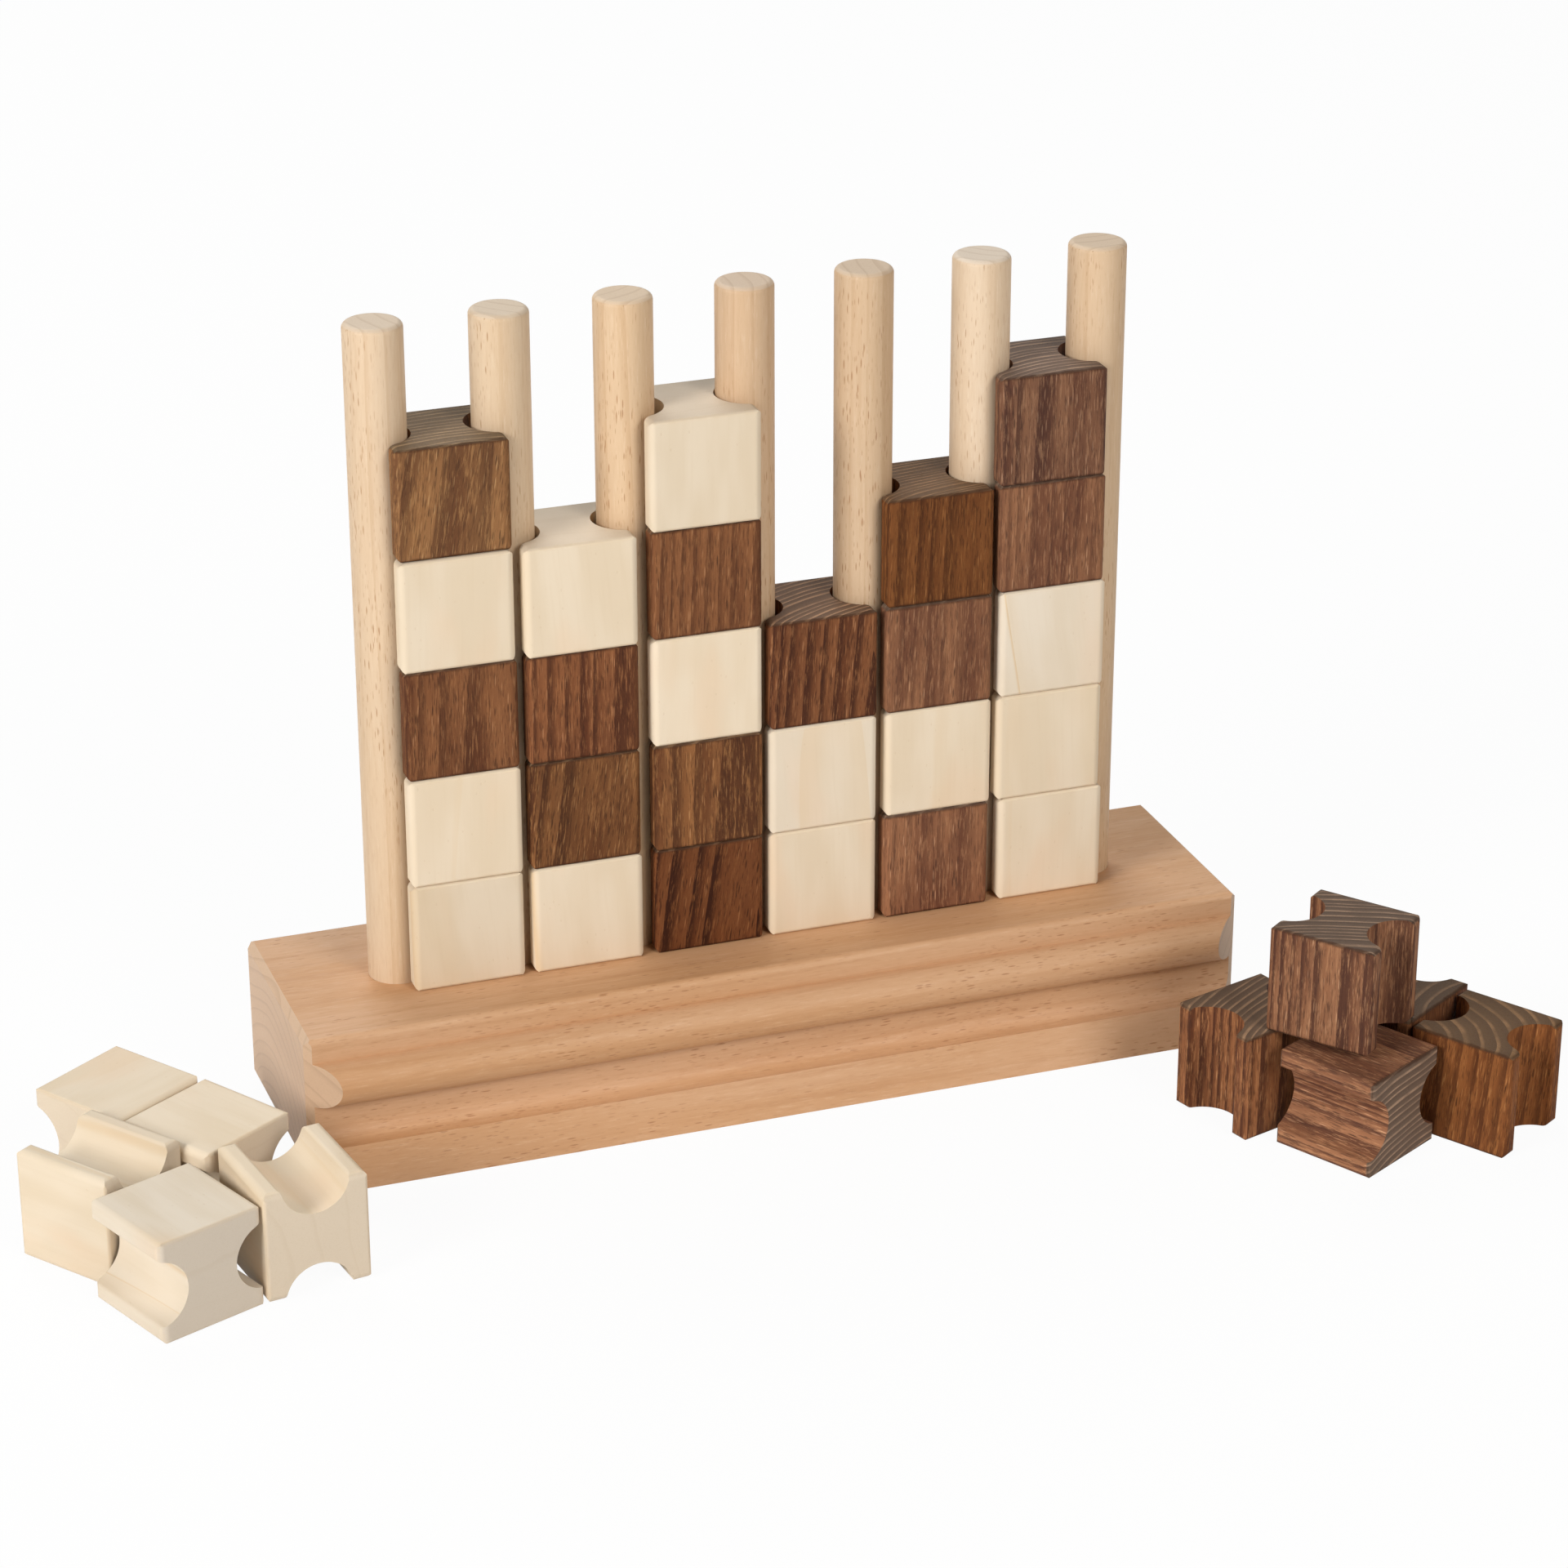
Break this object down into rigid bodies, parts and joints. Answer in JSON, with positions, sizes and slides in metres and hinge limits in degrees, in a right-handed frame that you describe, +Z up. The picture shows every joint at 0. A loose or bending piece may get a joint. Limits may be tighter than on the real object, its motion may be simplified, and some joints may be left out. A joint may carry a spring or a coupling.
{
  "type": "four in a row game",
  "caption": "Wooden four in a row game: a moulded base with a row of upright dowels and grooved light and dark blocks stacked between them or lying loose beside it.",
  "frame": {"origin": "centre of the base's underside, in line with the middle dowel", "axes": "+X along the row of dowels to the right as seen from the front, +Y to the back, +Z up along the dowels"},
  "size_m": [0.4625, 0.1958, 0.2565],
  "materials": {
    "beech base": "oiled, satin",
    "beech dowel": "sanded, matt",
    "light wood": "sanded, matt",
    "dark wood": "sanded, matt"
  },
  "bodies": {
    "stand": {"base": "beech base", "dowel_1": "beech dowel", "dowel_2": "beech dowel", "dowel_3": "beech dowel", "dowel_4": "beech dowel", "dowel_5": "beech dowel", "dowel_6": "beech dowel", "dowel_7": "beech dowel"},
    "light_block_column_1_row_1": {"light_block_column_1_row_1": "light wood"},
    "light_block_column_1_row_2": {"light_block_column_1_row_2": "light wood"},
    "dark_block_column_1_row_3": {"dark_block_column_1_row_3": "dark wood"},
    "light_block_column_1_row_4": {"light_block_column_1_row_4": "light wood"},
    "dark_block_column_1_row_5": {"dark_block_column_1_row_5": "dark wood"},
    "light_block_column_2_row_1": {"light_block_column_2_row_1": "light wood"},
    "dark_block_column_2_row_2": {"dark_block_column_2_row_2": "dark wood"},
    "dark_block_column_2_row_3": {"dark_block_column_2_row_3": "dark wood"},
    "light_block_column_2_row_4": {"light_block_column_2_row_4": "light wood"},
    "dark_block_column_3_row_1": {"dark_block_column_3_row_1": "dark wood"},
    "dark_block_column_3_row_2": {"dark_block_column_3_row_2": "dark wood"},
    "light_block_column_3_row_3": {"light_block_column_3_row_3": "light wood"},
    "dark_block_column_3_row_4": {"dark_block_column_3_row_4": "dark wood"},
    "light_block_column_3_row_5": {"light_block_column_3_row_5": "light wood"},
    "light_block_column_4_row_1": {"light_block_column_4_row_1": "light wood"},
    "light_block_column_4_row_2": {"light_block_column_4_row_2": "light wood"},
    "dark_block_column_4_row_3": {"dark_block_column_4_row_3": "dark wood"},
    "dark_block_column_5_row_1": {"dark_block_column_5_row_1": "dark wood"},
    "light_block_column_5_row_2": {"light_block_column_5_row_2": "light wood"},
    "dark_block_column_5_row_3": {"dark_block_column_5_row_3": "dark wood"},
    "dark_block_column_5_row_4": {"dark_block_column_5_row_4": "dark wood"},
    "light_block_column_6_row_1": {"light_block_column_6_row_1": "light wood"},
    "light_block_column_6_row_2": {"light_block_column_6_row_2": "light wood"},
    "light_block_column_6_row_3": {"light_block_column_6_row_3": "light wood"},
    "dark_block_column_6_row_4": {"dark_block_column_6_row_4": "dark wood"},
    "dark_block_column_6_row_5": {"dark_block_column_6_row_5": "dark wood"},
    "loose_light_block_1": {"loose_light_block_1": "light wood"},
    "loose_light_block_2": {"loose_light_block_2": "light wood"},
    "loose_light_block_3": {"loose_light_block_3": "light wood"},
    "loose_light_block_4": {"loose_light_block_4": "light wood"},
    "loose_light_block_5": {"loose_light_block_5": "light wood"},
    "loose_dark_block_1": {"loose_dark_block_1": "dark wood"},
    "loose_dark_block_2": {"loose_dark_block_2": "dark wood"},
    "loose_dark_block_3": {"loose_dark_block_3": "dark wood"},
    "loose_dark_block_4": {"loose_dark_block_4": "dark wood"},
    "loose_dark_block_5": {"loose_dark_block_5": "dark wood"}
  },
  "joints": [
    {"name": "light_block_column_1_row_1_lift", "type": "slide", "parent": "stand", "child": "light_block_column_1_row_1", "axis": [0, 0, 1], "range_m": [0, 0.2135]},
    {"name": "light_block_column_1_row_2_lift", "type": "slide", "parent": "light_block_column_1_row_1", "child": "light_block_column_1_row_2", "axis": [0, 0, 1], "range_m": [0, 0.1785]},
    {"name": "dark_block_column_1_row_3_lift", "type": "slide", "parent": "light_block_column_1_row_2", "child": "dark_block_column_1_row_3", "axis": [0, 0, 1], "range_m": [0, 0.1435]},
    {"name": "light_block_column_1_row_4_lift", "type": "slide", "parent": "dark_block_column_1_row_3", "child": "light_block_column_1_row_4", "axis": [0, 0, 1], "range_m": [0, 0.1085]},
    {"name": "dark_block_column_1_row_5_lift", "type": "slide", "parent": "light_block_column_1_row_4", "child": "dark_block_column_1_row_5", "axis": [0, 0, 1], "range_m": [0, 0.0735]},
    {"name": "light_block_column_2_row_1_lift", "type": "slide", "parent": "stand", "child": "light_block_column_2_row_1", "axis": [0, 0, 1], "range_m": [0, 0.2135]},
    {"name": "dark_block_column_2_row_2_lift", "type": "slide", "parent": "light_block_column_2_row_1", "child": "dark_block_column_2_row_2", "axis": [0, 0, 1], "range_m": [0, 0.1785]},
    {"name": "dark_block_column_2_row_3_lift", "type": "slide", "parent": "dark_block_column_2_row_2", "child": "dark_block_column_2_row_3", "axis": [0, 0, 1], "range_m": [0, 0.1435]},
    {"name": "light_block_column_2_row_4_lift", "type": "slide", "parent": "dark_block_column_2_row_3", "child": "light_block_column_2_row_4", "axis": [0, 0, 1], "range_m": [0, 0.1085]},
    {"name": "dark_block_column_3_row_1_lift", "type": "slide", "parent": "stand", "child": "dark_block_column_3_row_1", "axis": [0, 0, 1], "range_m": [0, 0.2135]},
    {"name": "dark_block_column_3_row_2_lift", "type": "slide", "parent": "dark_block_column_3_row_1", "child": "dark_block_column_3_row_2", "axis": [0, 0, 1], "range_m": [0, 0.1785]},
    {"name": "light_block_column_3_row_3_lift", "type": "slide", "parent": "dark_block_column_3_row_2", "child": "light_block_column_3_row_3", "axis": [0, 0, 1], "range_m": [0, 0.1435]},
    {"name": "dark_block_column_3_row_4_lift", "type": "slide", "parent": "light_block_column_3_row_3", "child": "dark_block_column_3_row_4", "axis": [0, 0, 1], "range_m": [0, 0.1085]},
    {"name": "light_block_column_3_row_5_lift", "type": "slide", "parent": "dark_block_column_3_row_4", "child": "light_block_column_3_row_5", "axis": [0, 0, 1], "range_m": [0, 0.0735]},
    {"name": "light_block_column_4_row_1_lift", "type": "slide", "parent": "stand", "child": "light_block_column_4_row_1", "axis": [0, 0, 1], "range_m": [0, 0.2135]},
    {"name": "light_block_column_4_row_2_lift", "type": "slide", "parent": "light_block_column_4_row_1", "child": "light_block_column_4_row_2", "axis": [0, 0, 1], "range_m": [0, 0.1785]},
    {"name": "dark_block_column_4_row_3_lift", "type": "slide", "parent": "light_block_column_4_row_2", "child": "dark_block_column_4_row_3", "axis": [0, 0, 1], "range_m": [0, 0.1435]},
    {"name": "dark_block_column_5_row_1_lift", "type": "slide", "parent": "stand", "child": "dark_block_column_5_row_1", "axis": [0, 0, 1], "range_m": [0, 0.2135]},
    {"name": "light_block_column_5_row_2_lift", "type": "slide", "parent": "dark_block_column_5_row_1", "child": "light_block_column_5_row_2", "axis": [0, 0, 1], "range_m": [0, 0.1785]},
    {"name": "dark_block_column_5_row_3_lift", "type": "slide", "parent": "light_block_column_5_row_2", "child": "dark_block_column_5_row_3", "axis": [0, 0, 1], "range_m": [0, 0.1435]},
    {"name": "dark_block_column_5_row_4_lift", "type": "slide", "parent": "dark_block_column_5_row_3", "child": "dark_block_column_5_row_4", "axis": [0, 0, 1], "range_m": [0, 0.1085]},
    {"name": "light_block_column_6_row_1_lift", "type": "slide", "parent": "stand", "child": "light_block_column_6_row_1", "axis": [0, 0, 1], "range_m": [0, 0.2135]},
    {"name": "light_block_column_6_row_2_lift", "type": "slide", "parent": "light_block_column_6_row_1", "child": "light_block_column_6_row_2", "axis": [0, 0, 1], "range_m": [0, 0.1785]},
    {"name": "light_block_column_6_row_3_lift", "type": "slide", "parent": "light_block_column_6_row_2", "child": "light_block_column_6_row_3", "axis": [0, 0, 1], "range_m": [0, 0.1435]},
    {"name": "dark_block_column_6_row_4_lift", "type": "slide", "parent": "light_block_column_6_row_3", "child": "dark_block_column_6_row_4", "axis": [0, 0, 1], "range_m": [0, 0.1085]},
    {"name": "dark_block_column_6_row_5_lift", "type": "slide", "parent": "dark_block_column_6_row_4", "child": "dark_block_column_6_row_5", "axis": [0, 0, 1], "range_m": [0, 0.0735]},
    {"name": "loose_light_block_1_lift", "type": "slide", "parent": "stand", "child": "loose_light_block_1", "axis": [0, 0, 1], "range_m": [0, 0.045]},
    {"name": "loose_light_block_2_lift", "type": "slide", "parent": "stand", "child": "loose_light_block_2", "axis": [0, 0, 1], "range_m": [0, 0.045]},
    {"name": "loose_light_block_3_lift", "type": "slide", "parent": "stand", "child": "loose_light_block_3", "axis": [0, 0, 1], "range_m": [0, 0.045]},
    {"name": "loose_light_block_4_lift", "type": "slide", "parent": "stand", "child": "loose_light_block_4", "axis": [0, 0, 1], "range_m": [0, 0.045]},
    {"name": "loose_light_block_5_lift", "type": "slide", "parent": "stand", "child": "loose_light_block_5", "axis": [0, 0, 1], "range_m": [0, 0.045]},
    {"name": "loose_dark_block_1_pull", "type": "slide", "parent": "stand", "child": "loose_dark_block_1", "axis": [0, -1, 0], "range_m": [0, 0.045]},
    {"name": "loose_dark_block_2_pull", "type": "slide", "parent": "stand", "child": "loose_dark_block_2", "axis": [-1, 0, 0], "range_m": [0, 0.045]},
    {"name": "loose_dark_block_3_lift", "type": "slide", "parent": "stand", "child": "loose_dark_block_3", "axis": [0, 0, 1], "range_m": [0, 0.045]},
    {"name": "loose_dark_block_4_pull", "type": "slide", "parent": "stand", "child": "loose_dark_block_4", "axis": [0.6, 0.8, 0], "range_m": [0, 0.045]},
    {"name": "loose_dark_block_5_lift", "type": "slide", "parent": "stand", "child": "loose_dark_block_5", "axis": [0, 0, 1], "range_m": [0, 0.045]}
  ]
}
